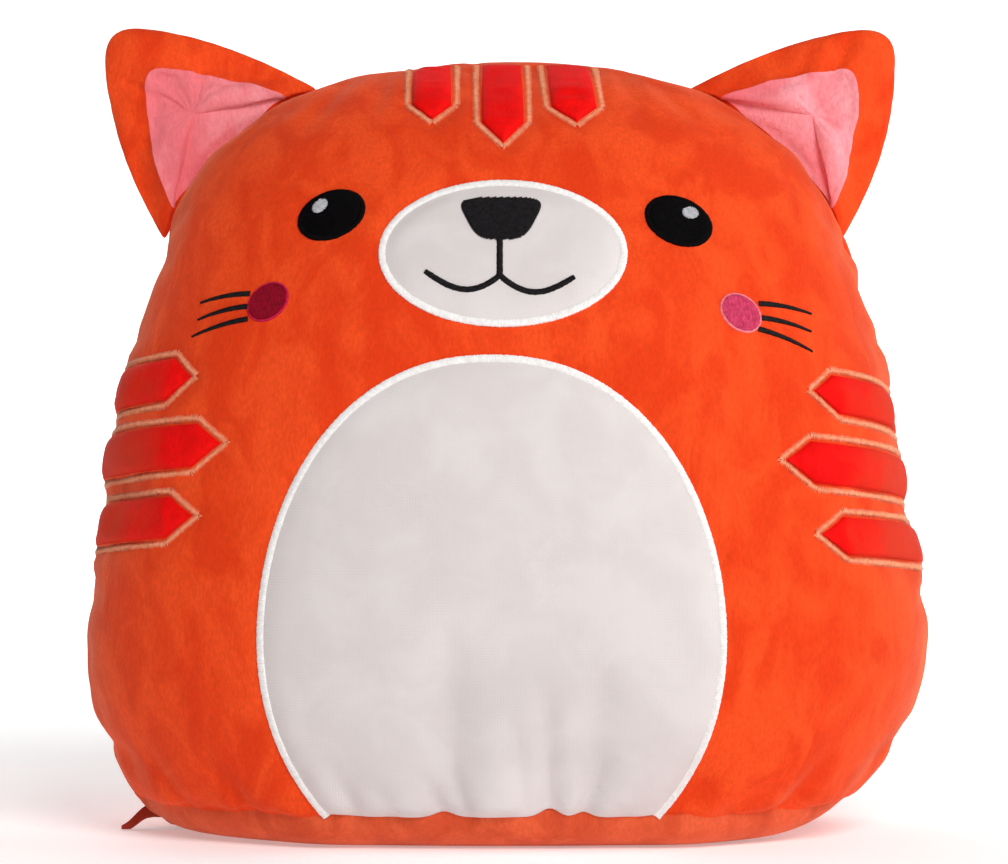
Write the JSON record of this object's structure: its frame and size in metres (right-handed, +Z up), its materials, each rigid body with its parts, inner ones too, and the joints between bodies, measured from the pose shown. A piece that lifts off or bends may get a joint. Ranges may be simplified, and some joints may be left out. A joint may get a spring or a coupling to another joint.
{
  "type": "plush cat",
  "caption": "Orange stuffed plush cat with red stripes, white muzzle and belly, padded ears and a zip in its base.",
  "frame": {"origin": "on the floor under the middle of the body", "axes": "+Z up, the cat looks along -Y, +X to the right as seen from the front"},
  "size_m": [0.3185, 0.1875, 0.305],
  "materials": {
    "orange_plush": "short-pile plush with a velvet nap",
    "base_plush": "short-pile plush, slightly darker",
    "inner_woven": "plain woven polyester",
    "fibre_fill": "loose polyester fibre",
    "white_cloth": "smooth short-nap cloth",
    "white_thread": "satin-stitched thread",
    "black_thread": "embroidery thread with a slight gloss",
    "grey_thread": "embroidery thread with a slight gloss",
    "berry_thread": "embroidery thread with a slight gloss",
    "pink_thread": "embroidery thread with a slight gloss",
    "salmon_thread": "zigzag stitching thread",
    "red_velvet": "padded velvet",
    "pink_plush": "short-pile plush",
    "zip_tape": "woven zip tape",
    "zip_nylon": "nylon coil",
    "zip_metal": "nickel-plated zinc",
    "ribbon": "woven satin ribbon"
  },
  "bodies": {
    "body": {"front_panel": "orange_plush", "back_panel": "orange_plush", "base_front": "base_plush", "base_back": "base_plush", "inner_cover_front": "inner_woven", "inner_cover_back": "inner_woven", "fibre_filling": "fibre_fill", "muzzle_patch": "white_cloth", "muzzle_border": "white_thread", "nose": "black_thread", "mouth": "black_thread", "eye_left": "black_thread", "eye_right": "black_thread", "eye_highlight_left": "grey_thread", "eye_highlight_right": "grey_thread", "cheek_left": "berry_thread", "cheek_right": "pink_thread", "whiskers_left": "black_thread", "whiskers_right": "black_thread", "forehead_stripe_left": "red_velvet", "forehead_stripe_centre": "red_velvet", "forehead_stripe_right": "red_velvet", "forehead_stitching": "salmon_thread", "side_stripe_left_upper": "red_velvet", "side_stripe_left_middle": "red_velvet", "side_stripe_left_lower": "red_velvet", "side_stripe_right_upper": "red_velvet", "side_stripe_right_middle": "red_velvet", "side_stripe_right_lower": "red_velvet", "side_stitching_left": "salmon_thread", "side_stitching_right": "salmon_thread", "belly_patch": "white_cloth", "belly_border": "white_thread", "zip_tape_front": "zip_tape", "zip_tape_back": "zip_tape", "zip_coil": "zip_nylon", "zip_stops": "zip_metal"},
    "zip_slider": {"zip_slider": "zip_metal"},
    "zip_pull": {"zip_pull_tab": "zip_metal", "zip_pull_ribbon": "ribbon"},
    "ear_left": {"ear_front_left": "orange_plush", "ear_back_left": "orange_plush", "ear_inner_left": "pink_plush", "ear_filling_left": "fibre_fill"},
    "ear_right": {"ear_front_right": "orange_plush", "ear_back_right": "orange_plush", "ear_inner_right": "pink_plush", "ear_filling_right": "fibre_fill"}
  },
  "joints": [
    {"name": "zip_slide", "type": "slide", "parent": "body", "child": "zip_slider", "axis": [1, 0, 0], "range_m": [0, 0.2]},
    {"name": "pull_flip", "type": "hinge", "parent": "zip_slider", "child": "zip_pull", "pos_m": [-0.11, 0, 0.00265], "axis": [0, 1, 0], "range_deg": [-100, 0], "stiffness_Nm_per_rad": 0.01},
    {"name": "ear_left_fold", "type": "hinge", "parent": "body", "child": "ear_left", "pos_m": [-0.107, 0, 0.26], "axis": [0.7071, 0, 0.7071], "range_deg": [-35, 35], "stiffness_Nm_per_rad": 0.15},
    {"name": "ear_right_fold", "type": "hinge", "parent": "body", "child": "ear_right", "pos_m": [0.107, 0, 0.26], "axis": [0.7071, 0, -0.7071], "range_deg": [-35, 35], "stiffness_Nm_per_rad": 0.15}
  ]
}
